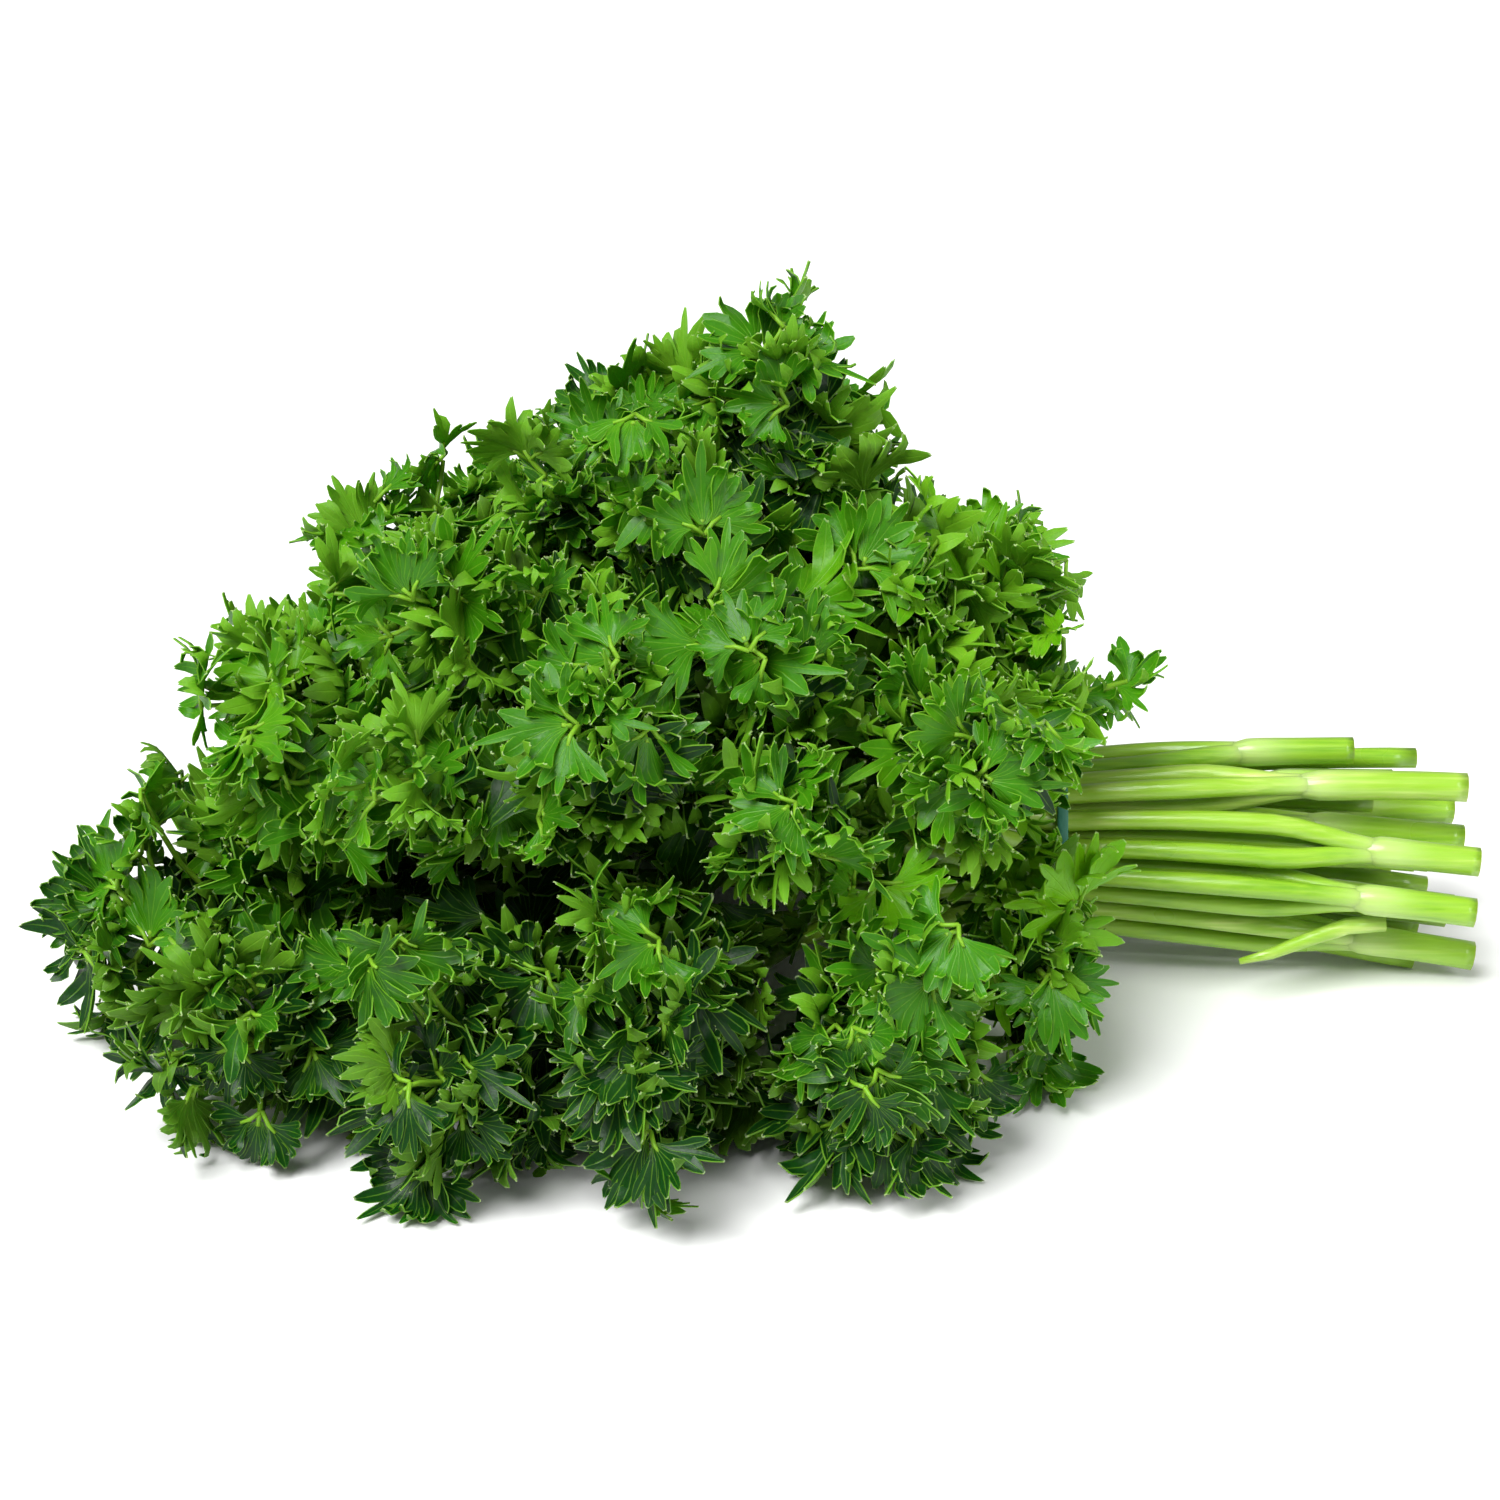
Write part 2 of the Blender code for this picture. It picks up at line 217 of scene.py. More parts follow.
def makeFan(kind):
    rng = random.Random(kind * 37 + 11)
    lobes = (3, 3, 3) if kind % 4 else (2, 3, 2)
    teeth = sum(lobes)
    inner, outer = fanLook["innerRows"], fanLook["toothRows"]
    rows = inner + outer
    length = fanLook["length"]
    curliness = fanLook["curliness"][kind % len(fanLook["curliness"])]
    # where each tooth grows and points, how long it is, and how far it curls
    roots, points, tips, curls, lifts, starts = [], [], [], [], [], [0]
    for lobe, count in enumerate(lobes):
        lobeAngle = (lobe - 1) * rng.uniform(36, 44)
        lobeLift = rng.uniform(*fanLook["lobeLift"]) * curliness
        for tooth in range(count):
            offset = tooth - (count - 1) / 2
            roots.append(math.radians(lobeAngle + offset * 11.5))
            points.append(math.radians(lobeAngle + offset * rng.uniform(19, 29) + rng.uniform(-4, 4)))
            lobeLength = 1.0 if lobe == 1 else rng.uniform(0.84, 0.95)
            tips.append(length * lobeLength * (0.95 - 0.10 * abs(offset)) * rng.uniform(0.95, 1.05))
            wild = rng.random() < fanLook["foldedTeeth"] * curliness
            folded = fanLook["foldedBy"] if wild else 0
            curls.append(math.radians(rng.uniform(*fanLook["toothCurl"]) * curliness + folded))
            lifts.append(lobeLift + rng.uniform(-0.08, 0.08) * curliness)
        starts.append(starts[-1] + count)
    borders, notches = [roots[0] - fanLook["borderTurn"]], [tips[0] * fanLook["outerNotch"]]
    for tooth in range(1, teeth):
        borders.append((roots[tooth - 1] + roots[tooth]) / 2)
        depth = rng.uniform(*fanLook["lobeNotch" if tooth in starts else "toothNotch"])
        notches.append(min(tips[tooth - 1], tips[tooth]) * depth)
    borders.append(roots[-1] + fanLook["borderTurn"])
    notches.append(tips[-1] * fanLook["outerNotch"])
    notchPlaces = [Vector((reach * math.sin(angle), reach * math.cos(angle)))
                   for angle, reach in zip(borders, notches)]

    bm = bmesh.new()
    uvs = bm.loops.layers.uv.new("toothUV")
    bmesh.ops.create_grid(bm, x_segments=2 * teeth, y_segments=rows, size=1)
    slits = []
    for edge in bm.edges:
        columns = [round((vert.co.x + 1) * teeth) for vert in edge.verts]
        heights = [round((vert.co.y + 1) / 2 * rows) for vert in edge.verts]
        upright = columns[0] == columns[1] and columns[0] % 2 == 0
        if upright and 0 < columns[0] < 2 * teeth and min(heights) >= inner:
            slits.append(edge)
    bmesh.ops.split_edges(bm, edges=slits)
    for face in bm.faces:
        for loop in face.loops:
            height = (loop.vert.co.y + 1) / 2 * rows
            up = height / inner if height <= inner else 1 + (height - inner) / outer
            loop[uvs].uv = ((loop.vert.co.x + 1) / 2 * teeth, up)
    cup = rng.uniform(*fanLook["cup"])
    ruffle = rng.uniform(*fanLook["ruffle"]) * curliness
    waves, phase = rng.choice((3, 4, 5)), rng.uniform(0, 6.28)
    places = {}
    for vert in bm.verts:
        column = round((vert.co.x + 1) * teeth)
        row = round((vert.co.y + 1) / 2 * rows)
        beside = sum(face.calc_center_median().x for face in vert.link_faces) / len(vert.link_faces)
        tooth = min(teeth - 1, int((beside + 1) / 2 * teeth))
        lift = lifts[tooth]
        if row <= inner:
            share = row / inner
            if column % 2:
                flat = (notchPlaces[tooth] + notchPlaces[tooth + 1]) / 2
            else:
                near = column // 2
                flat = notchPlaces[near]
                lift = (lifts[max(0, near - 1)] + lifts[min(teeth - 1, near)]) / 2
            narrow = 0.45 + 0.55 * smooth(share, 0, 1)
            baseX = fanLook["baseHalf"] * (column / teeth - 1) * (1 - share)
            x, y = baseX + flat.x * share * narrow, flat.y * share
            rise = fanLook["groove"] * (column % 2 == 0) * share
        else:
            share = (row - inner) / outer
            side = column - (2 * tooth + 1)
            root = (notchPlaces[tooth] + notchPlaces[tooth + 1]) / 2
            halfWidth = (notchPlaces[tooth] - notchPlaces[tooth + 1]).length / 2
            width = side * min(halfWidth, fanLook["toothHalf"]) * fanLook["toothShape"][row - inner]
            free = max(tips[tooth] - root.length, length * 0.2)
            bend = curls[tooth] * share or 1e-4
            forward = free * share * math.sin(bend) / bend
            rise = free * share * (1 - math.cos(bend)) / bend + fanLook["groove"] * abs(side)
            rise += width * 0.5 * math.sin(tooth * 2.1 + kind)
            x = root.x + forward * math.sin(points[tooth]) + width * math.cos(points[tooth])
            y = root.y + forward * math.cos(points[tooth]) - width * math.sin(points[tooth])
        far = math.hypot(x, y) / length
        wave = math.sin(waves * math.atan2(x, y) + phase)
        z = rise + length * ((lift - cup) * far ** 2 + ruffle * far ** 1.5 * wave)
        places[vert] = Vector((x, y, z))
    for vert, position in places.items():
        vert.co = position
    bmesh.ops.remove_doubles(bm, verts=bm.verts, dist=1e-5)
    bmesh.ops.recalc_face_normals(bm, faces=bm.faces)
    if sum(face.normal.z for face in bm.faces) < 0:
        bmesh.ops.reverse_faces(bm, faces=bm.faces)
    tops = set(bm.faces)
    bmesh.ops.solidify(bm, geom=bm.faces[:], thickness=fanLook["thickness"])
    data = bm.loops.layers.float_color.new("leafData")
    for face in bm.faces:
        face.smooth = True
        for loop in face.loops:
            loop[data] = (0.0 if face in tops else 1.0, 0.5, 0.0, 1.0)
    mesh = bpy.data.meshes.new(f"fan{kind}")
    bm.to_mesh(mesh)
    bm.free()
    mesh.set_sharp_from_angle(angle=math.radians(fanLook["sharpFrom"]))
    return mesh


fans = [makeFan(kind) for kind in range(fanLook["kinds"])]
leafFinish = leafMaterial()
print("leaflets:", len(fans), "kinds")


# tubes: a ring carried along a row of points

def sweepTube(bm, points, radii, sides, ribs=0.0):
    before = len(bm.faces)
    ring = bmesh.ops.create_circle(bm, segments=sides, radius=1.0, cap_ends=True)["verts"]
    for number, vert in enumerate(ring):
        vert.co.xy *= 1 + ribs * (number % 2)
    edges = list({edge for vert in ring for edge in vert.link_edges})
    along = (points[1] - points[0]).normalized()
    placing = along.to_track_quat("Z", "Y").to_matrix()
    was = Matrix.Identity(4)
    for number, point in enumerate(points):
        near = points[min(number + 1, len(points) - 1)] - points[max(number - 1, 0)]
        placing = along.rotation_difference(near.normalized()).to_matrix() @ placing
        along = near.normalized()
        now = Matrix.Translation(point) @ placing.to_4x4() @ Matrix.Scale(radii[number], 4)
        if number:
            grown = bmesh.ops.extrude_edge_only(bm, edges=edges)["geom"]
            ring = [item for item in grown if isinstance(item, bmesh.types.BMVert)]
            edges = [item for item in grown if isinstance(item, bmesh.types.BMEdge)]
        bmesh.ops.transform(bm, matrix=now @ was.inverted(), verts=ring)
        was = now
    bmesh.ops.edgeloop_fill(bm, edges=edges)
    bm.faces.ensure_lookup_table()
    made = bm.faces[before:]
    bmesh.ops.recalc_face_normals(bm, faces=made)
    return made


def tubeMesh(points, radii, sides):
    bm = bmesh.new()
    sweepTube(bm, points, radii, sides)
    mesh = bpy.data.meshes.new("tube")
    bm.to_mesh(mesh)
    bm.free()
    return mesh


def curveBetween(start, leaving, arriving, end, count):
    first, second = start + leaving, end - arriving
    row = []
    for t in np.linspace(0, 1, count):
        u = 1 - t
        row.append(start * u ** 3 + first * 3 * u * u * t + second * 3 * u * t * t + end * t ** 3)
    return row


def finishPiece(name, bm, material, slot, *stands):
    mesh = bpy.data.meshes.new(name)
    bm.to_mesh(mesh)
    bm.free()
    mesh.materials.append(material)
    piece = bpy.data.objects.new(name, mesh)
    scene.collection.objects.link(piece)
    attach(piece, "root")
    if stands:
        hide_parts(*stands)
    return piece


# the leaf blades: each has a midrib, side ribs, and a trefoil of leaflets at each rib's end

bladeLook = {
    "footRadius": 0.0015,
    "ribRadius": 0.00065,
    "twigRadius": 0.00045,
    "skinPerTrefoil": 0.000120,  # square metres of the blade's outside to each trefoil
    "sideShare": 0.7,  # how close they stand on the sides, beside the outside's 1
    "innerDepth": 0.55,
    "footLeaflets": 14,  # leaflets that fill the gaps round a blade's foot, darkened with painted shade
    "footSpread": 0.017,
    "proudPlace": (-0.066, 0.013),  # the highest sprig, from the band's middle
    "proudRise": 0.011,
    "proudSpread": 0.024,
    "floorGap": 0.0004,
    "leafletFloor": 0.003,  # the lowest that a leaflet's foot stands
    "droop": 0.35,
    "tipRoom": 0.00165,  # round a petiole's tip
    "tipGap": 0.0011,  # from a petiole's tip to its blade
    "depthVaries": (-0.006, 0.0035),  # of the leaflets, from the blade's outside
    "sideApart": 0.0022,  # from a trefoil's node to its side leaflets
    "innerSize": 1.3,
    "innerPaintedShade": 0.38,
    "footPaintedShade": 0.40,
    "footFloor": 0.006,
    "footEnds": -0.03,  # how near the band these leaflets come, along X
}


def clearWay(tree, origin, direction):
    aside = direction.orthogonal().normalized() * bladeLook["tipRoom"]
    turns = [Matrix.Rotation(math.radians(turn), 3, direction) for turn in range(0, 360, 30)]
    starts = [origin, *(origin + turn @ aside for turn in turns)]
    hits = [tree.ray_cast(start, direction)[3] for start in starts]
    return min(hit for hit in hits if hit is not None)


def bladePlan(name):
    cad = nodes[name]
    tree = BVHTree.FromObject(cad, bpy.context.evaluated_depsgraph_get())
    way = (middleOf(name) - fanMiddle).normalized()
    foot = fanMiddle + way * (clearWay(tree, fanMiddle, way) - bladeLook["tipGap"])
    top = tree.ray_cast(fanMiddle + way * 0.5, -way)[0]
    return {"way": way, "foot": foot, "top": top, "cad": cad}


plans = {name: bladePlan(name) for name in sorted(nodes) if name.startswith("leaf_blade")}


def outsideSites(plan, rng):
    heart = plan["foot"].lerp(plan["top"], 0.3)
    spots, skins, weights, area = [], [], [], 0.0
    for face in plan["cad"].data.polygons:
        middle = Vector(face.center)
        facing = face.normal.dot((middle - fanMiddle).normalized())
        if facing < -0.35 or (face.normal.z < -0.6 and middle.z < 0.004):
            continue
        weight = 1.0 if facing > 0.3 else bladeLook["sideShare"]
        area += face.area * weight ** 2
        corners = [plan["cad"].data.vertices[i].co for i in face.vertices]
        for _ in range(1 + int(face.area * 5e5)):
            a, b = sorted((rng.random(), rng.random()))
            spots.append(corners[0] * a + corners[1] * (b - a) + corners[2] * (1 - b))
            skins.append(Vector(face.normal))
            weights.append(weight)
    places, weights = np.array(spots), np.array(weights)
    chosen = [int((places @ np.array(plan["way"])).argmax())]
    apart = np.linalg.norm(places - places[chosen[0]], axis=1)
    for _ in range(max(4, round(area / bladeLook["skinPerTrefoil"])) - 1):
        chosen.append(int((apart * weights).argmax()))
        apart = np.minimum(apart, np.linalg.norm(places - places[chosen[-1]], axis=1))
    return heart, [(spots[pick], skins[pick]) for pick in chosen]


paleTintAndPaintedLight = (  # where the leaves are brighter, partly a paler tint and partly painted light: how much, the place from the band, how wide
    (0.30, (-0.150, -0.045, 0.040), 0.052),
    (0.60, (-0.025, -0.038, 0.030), 0.055),
)


def tintAndPaintedLightAt(place):
    here = place - bandMiddle
    bright = 0.0
    for gain, middle, width in paleTintAndPaintedLight:
        bright += gain * math.exp(-((here - Vector(middle)).length / width) ** 2)
    # painted shade: darker at the front bottom and at the far left bottom, partly also a darker tone of
    # the leaves
    dark = 0.30 * smooth(-here.y, 0.045, 0.095) * smooth(-here.z, -0.035, 0.02)
    dark += 0.22 * smooth(-here.x, 0.150, 0.190) * smooth(-here.z, -0.03, 0.01)
    return 0.36 + bright - dark * 1.8


def growFan(bm, kind, at, axis, normal, size, tint):
    mesh = fans[kind].copy()
    turn = Matrix((axis.cross(normal), axis, normal)).transposed().to_4x4()
    mesh.transform(Matrix.Translation(at) @ turn @ Matrix.Scale(size, 4))
    data = mesh.attributes["leafData"].data
    values = np.empty(len(data) * 4, np.float32)
    data.foreach_get("color", values)
    values[1::4] = tint
    data.foreach_set("color", values)
    bm.from_mesh(mesh, face_normals=False, vertex_normals=False)
    bpy.data.meshes.remove(mesh)


def straightened(vector, axis):
    return (vector - axis * vector.dot(axis)).normalized()


def tipped(vector, about, degrees):
    return (Matrix.Rotation(math.radians(degrees), 3, about) @ vector).normalized()


def proudLift(point):
    here = point - bandMiddle
    apart = (here.xy - Vector(bladeLook["proudPlace"])).length / bladeLook["proudSpread"]
    return bladeLook["proudRise"] * math.exp(-apart ** 2) * smooth(here.z, 0.05, 0.08)


def anyWay(rng):
    return Vector((rng.uniform(-1, 1), rng.uniform(-1, 1), rng.uniform(-1, 1)))


def makeBlade(name, plan):
    rng = random.Random(name)
    way, foot, top = plan["way"], plan["foot"], plan["top"]
    heart, sites = outsideSites(plan, rng)
    length = (top - foot).length
    ribPoints = [foot + way * length * share for share in np.linspace(-0.06, 0.72, 6)]
    ribRadii = np.linspace(bladeLook["footRadius"], bladeLook["ribRadius"], 6)
    stems = [(ribPoints, ribRadii, 8)]
    leafTint = rng.uniform(-0.10, 0.10)
    growing = []
    for point, skin in sites:
        outward = (skin + (point - heart).normalized()).normalized()
        point = point + outward * rng.uniform(*bladeLook["depthVaries"])
        point.z += proudLift(point)
        spread = point - heart
        spread = straightened(spread if spread.cross(way).length > 0.004 else anyWay(rng), way)
        low = 1 - smooth(point.z, 0.01, 0.09)
        axis = spread * rng.uniform(0.15, 0.75) + way * rng.uniform(0.1, 0.75) + anyWay(rng) * 0.55
        axis = (axis + Vector((0, 0, -1)) * bladeLook["droop"] * low).normalized()
        normal = tipped(straightened(outward, axis), axis, rng.uniform(-45, 45))
        size = rng.uniform(0.74, 1.16)
        node = point - axis * fanLook["length"] * size * 0.55 - normal * 0.001
        node.z = max(node.z, bladeLook["leafletFloor"])
        tint = tintAndPaintedLightAt(point) + leafTint + rng.uniform(-0.08, 0.08)
        growing.append((node, axis, normal, size, tint))
        for side in (-1, 1):
            sideAxis = tipped(axis, normal, side * rng.uniform(55, 84))
            sideNormal = tipped(straightened(normal, sideAxis), sideAxis, rng.uniform(-38, 38))
            sideNode = node + sideAxis * bladeLook["sideApart"] - axis * 0.001
            sideSize = size * rng.uniform(0.74, 0.9)
            growing.append((sideNode, sideAxis, sideNormal, sideSize, tint + rng.uniform(-0.05, 0.05)))
            twig = [node - axis * 0.002, sideNode, sideNode + sideAxis * 0.002]
            stems.append((twig, [bladeLook["twigRadius"]] * 2 + [0.0003], 6))
        height = (node - foot).dot(way) - (node - foot).cross(way).length * 0.7
        start = foot + way * min(length * 0.7, max(0.0, height))
        reach = (node - start).length
        twig = curveBetween(start, way * reach * 0.4, axis * reach * 0.35, node + axis * 0.001, 6)
        stems.append((twig, np.linspace(bladeLook["ribRadius"], bladeLook["twigRadius"], 6), 6))
        inside = heart.lerp(point, bladeLook["innerDepth"])
        innerAxis = tipped(axis, normal, rng.uniform(-120, 120))
        innerNode = inside - innerAxis * fanLook["length"] * 0.5
        innerNode.z = max(innerNode.z, bladeLook["leafletFloor"])
        # painted shade: the inner leaflets get a darker tint for the shaded inside of the mound
        innerNormal, innerShadedTint = straightened(outward, innerAxis), tint - bladeLook["innerPaintedShade"]
        growing.append((innerNode, innerAxis, innerNormal, bladeLook["innerSize"], innerShadedTint))
    for _ in range(bladeLook["footLeaflets"]):
        at = foot + way * rng.uniform(-0.014, 0.012) + anyWay(rng) * bladeLook["footSpread"]
        at.z = max(at.z, bladeLook["footFloor"])
        axis = (way + anyWay(rng) * 1.2).normalized()
        normal = straightened(anyWay(rng) + Vector((0, 0, 0.8)), axis)
        if (at - bandMiddle).x < bladeLook["footEnds"]:
            # painted shade: these leaflets get a darker tint where the blade's foot lies in shade
            footShadedTint = tintAndPaintedLightAt(at) - bladeLook["footPaintedShade"]
            growing.append((at, axis, normal, rng.uniform(1.0, 1.3), footShadedTint))
    bm = bmesh.new()
    bm.loops.layers.uv.new("toothUV")
    data = bm.loops.layers.float_color.new("leafData")
    for points, radii, sides in stems:
        twigMesh = tubeMesh(points, radii, sides)
        bm.from_mesh(twigMesh, face_normals=False, vertex_normals=False)
        bpy.data.meshes.remove(twigMesh)
    for face in bm.faces:
        face.smooth = True
        for loop in face.loops:
            loop[data] = (0.0, 0.5, 1.0, 1.0)
    for node, axis, normal, size, tint in growing:
        growFan(bm, rng.randrange(len(fans)), node, axis, normal, size, tint)
    gap = bladeLook["floorGap"]
    for vert in bm.verts:
        if vert.co.z < gap * 8:
            vert.co.z = gap + gap * 7 * math.exp((vert.co.z - gap * 8) / (gap * 7))
    return finishPiece(name.replace("leaf_blade", "curlyLeaf"), bm, leafFinish, "leaf", name)


for name, plan in plans.items():
    makeBlade(name, plan)
leafFaces = sum(len(piece.data.polygons) for piece in scene.objects if "curlyLeaf" in piece.name)
print("leaf blades:", len(plans), "faces:", leafFaces)


# the stalks: ribbed stems with cut ends, forking towards the leaves

stemColours = {
    "shade": (0.110, 0.290, 0.006, 1),
    "middle": (0.240, 0.440, 0.024, 1),
    "light": (0.480, 0.610, 0.150, 1),
    "fork": (0.420, 0.580, 0.180, 1),
    "cut": (0.480, 0.620, 0.240, 1),
}


def stemMaterial():
    material, tree, shader = newMaterial(
        "parsleyStem", Roughness=0.3, Specular_IOR_Level=0.5, Subsurface_Weight=0.25,
        Subsurface_Scale=0.003, Coat_Weight=0.15, Coat_Roughness=0.2)
    shader.inputs["Subsurface Radius"].default_value = (0.7, 1.0, 0.2)
    data = addNode(tree, "ShaderNodeAttribute", attribute_name="stemData")
    parts = addNode(tree, "ShaderNodeSeparateColor", {"Color": data.outputs["Color"]})
    cut, tint, pale = (parts.outputs[name] for name in ("Red", "Green", "Blue"))
    place = addNode(tree, "ShaderNodeTexCoord").outputs["Object"]
    mapping = addNode(tree, "ShaderNodeMapping", {"Vector": place, "Scale": (45, 1100, 1100)})
    stretched = mapping.outputs["Vector"]
    fibres = noise(tree, stretched, 1.0, 3.0)
    blotch = noise(tree, place, 70.0, 2.0)
    shade = maths(tree, "ADD", tint, maths(tree, "MULTIPLY_ADD", fibres, 0.7, -0.35))
    shade = maths(tree, "ADD", shade, maths(tree, "MULTIPLY_ADD", blotch, 0.5, -0.25), clamp=True)
    lower = mixColour(tree, ramp(tree, shade, 0.0, 0.5), stemColours["shade"], stemColours["middle"])
    upper = mixColour(tree, ramp(tree, shade, 0.5, 1.0), lower, stemColours["light"])
    forked = mixColour(tree, maths(tree, "MULTIPLY", pale, 0.7), upper, stemColours["fork"])
    ended = mixColour(tree, cut, forked, stemColours["cut"])
    tree.links.new(ended, shader.inputs["Base Color"])
    tree.links.new(maths(tree, "MULTIPLY_ADD", blotch, 0.22, 0.2), shader.inputs["Roughness"])
    bump = addNode(tree, "ShaderNodeBump", {"Height": fibres, "Strength": 0.5, "Distance": 0.0004})
    tree.links.new(bump.outputs["Normal"], shader.inputs["Normal"])
    return material


bundle = {
    "rings": 3,
    "pitchAtBand": 0.0051,
    "pitchAtCut": 0.0079,
    "petioleRadius": 0.0020,
    "topRadius": 0.0015,
    "cutX": 0.083,
    "droop": 0.0050,
    "sway": 0.0016,
    "forkLength": 0.024,
    "stalks": ((0, 4, 5), (9, 15, 16), (22, 23, 28), (29, 33, 34), (2, 3, 7),
               (10, 11), (17, 18), (24, 25), (30, 31), (35, 36), (13, 14), (20, 21),
               (1,), (6,), (8,), (12,), (19,), (26,), (27,), (32,)),
    "shorter": (0, 2, 1, 3, 9, 4, 12, 2, 16, 24, 6, 1, 11, 4, 14, 8, 3, 19, 5, 10),  # mm
    "forkBack": (22, 20, 18, 31, 24, 26, 18, 29, 22, 20, 27, 22),  # mm behind the cut end
    "radius": {1: 0.0022, 2: 0.0026, 3: 0.0028},
    "sides": 18,
    "ribs": 0.045,
    "swayStarts": 0.015,
    "turn": 2.4,  # radians from one stalk's lean to the next one's
    "baseReach": 0.009,  # a stalk's base runs this far past its fork
    "petioleReach": 0.007,  # and its petioles start this far before it
    "paleLength": 0.006,
    "cutRim": 0.0005,
}


def honeycomb():
    rings, places = bundle["rings"], []
    for row in range(-rings, rings + 1):
        for column in range(-rings, rings + 1):
            if abs(row + column) <= rings:
                places.append(Vector((column + row / 2, row * math.sqrt(3) / 2)))
    return places


petiolePlaces = honeycomb()


def inBundle(number, place, middle, x, forkX):
    share = x / bundle["cutX"]
    pitch = bundle["pitchAtBand"] + (bundle["pitchAtCut"] - bundle["pitchAtBand"]) * share ** 0.8
    merged = 0.86 * smooth(x, forkX - bundle["forkLength"], forkX)
    here = place.lerp(middle, merged) * pitch
    sway = bundle["sway"] * smooth(x, bundle["swayStarts"], bundle["cutX"])
    lean = number * bundle["turn"]
    here += Vector((math.cos(lean), math.sin(lean))) * sway
    return bandMiddle + Vector((x, here.x, here.y - bundle["droop"] * share * share))


def fanOut(place, foot, way, count):
    start = bandMiddle + Vector((0, *(place * bundle["pitchAtBand"])))
    reach = (foot - start).length
    leaving = Vector((-1, (start.y - bandMiddle.y) * 7, (start.z - bandMiddle.z) * 7)).normalized()
    return curveBetween(start, leaving * reach * 0.33, way * reach * 0.36, foot, count)


stemFinish = stemMaterial()


def paintStem(faces, data, tint, pale=None):
    for face in faces:
        face.smooth = True
        for loop in face.loops:
            share = pale(loop.vert.co) if pale else 0.0
            loop[data] = (0.0, tint, share, 1.0)


def makeStalk(number):
    name = f"stalk_{number + 1:02d}"
    rng = random.Random(name)
    members = bundle["stalks"][number]
    middle = sum((petiolePlaces[member] for member in members), Vector((0, 0))) / len(members)
    cutX = bundle["cutX"] - bundle["shorter"][number] / 1000
    radius = bundle["radius"][len(members)]
    tint = rng.uniform(0.35, 0.68)
    bm = bmesh.new()
    data = bm.loops.layers.float_color.new("stemData")
    forks = len(members) > 1
    forkX = cutX - bundle["forkBack"][number] / 1000 if forks else cutX + bundle["forkLength"]
    forkAt = inBundle(number, middle, middle, forkX, forkX)
    pale = (lambda co: math.exp(-((co.x - forkAt.x) / bundle["paleLength"]) ** 2)) if forks else None
    if forks:
        baseXs = np.linspace(cutX, forkX - bundle["baseReach"], 16)
        row = [inBundle(number, middle, middle, x, forkX) for x in baseXs]
        swelling = [radius * (1 + 0.07 * smooth(share, 0.3, 0.7)) * (1 - 0.75 * smooth(share, 0.7, 1))
                    for share in np.linspace(0, 1, 16)]
        faces = sweepTube(bm, row, swelling, bundle["sides"], bundle["ribs"])
        paintStem(faces, data, tint, pale)
    for member in members:
        plan = plans[f"leaf_blade_{member + 1:02d}"]
        place = petiolePlaces[member]
        startX = forkX + bundle["petioleReach"] if forks else cutX
        row = [inBundle(number, place, middle, x, forkX) for x in np.linspace(startX, 0.006, 14)]
        row += fanOut(place, plan["foot"], plan["way"], 16)
        radii = [bundle["petioleRadius"] * (0.97 + 0.05 * math.sin(step * 0.7 + member))
                 for step in range(15)]
        radii += list(np.linspace(bundle["petioleRadius"], bundle["topRadius"], len(row) - 15))
        if forks:
            radii[0] *= 0.7
            radii[1] *= 0.85
        faces = sweepTube(bm, row, radii, bundle["sides"], bundle["ribs"])
        paintStem(faces, data, tint + rng.uniform(-0.12, 0.12), pale)
    for vert in bm.verts:
        vert.co.z = max(vert.co.z, bladeLook["floorGap"])
    nearCut = bandMiddle.x + cutX - 0.001
    ends = [face for face in bm.faces if len(face.verts) > 8 and face.calc_center_median().x > nearCut]
    for end in ends:
        rim = bmesh.ops.inset_region(bm, faces=[end], thickness=bundle["cutRim"], depth=0.0)["faces"]
        bmesh.ops.translate(bm, verts=end.verts, vec=Vector((-bundle["cutRim"], 0, 0)))
        for face in [end, *rim]:
            face.smooth = False
            for loop in face.loops:
                loop[data] = (1.0, tint, 0.0, 1.0)
    return finishPiece(name.replace("stalk_", "ribbedStalk_"), bm, stemFinish, "stem", name)


for number in range(len(bundle["stalks"])):
    makeStalk(number)
print("stalks:", len(bundle["stalks"]))


# loose bits: a sprig that lies over the stems by the band, and a broken shoot low in front

looseLook = {
    "sprigFrom": (-0.026, -0.010, 0.028),
    "sprigTo": (0.012, -0.010, 0.039),
    "sprigLeaflets": 11,
    "sprigTint": 0.5,
    "shootFrom": (0.064, -0.017, -0.010),
    "shootTo": (0.035, -0.023, -0.0155),
    "shootRadii": (0.0017, 0.0016, 0.0014, 0.0011, 0.0006),
    "shootTint": 0.6,
}


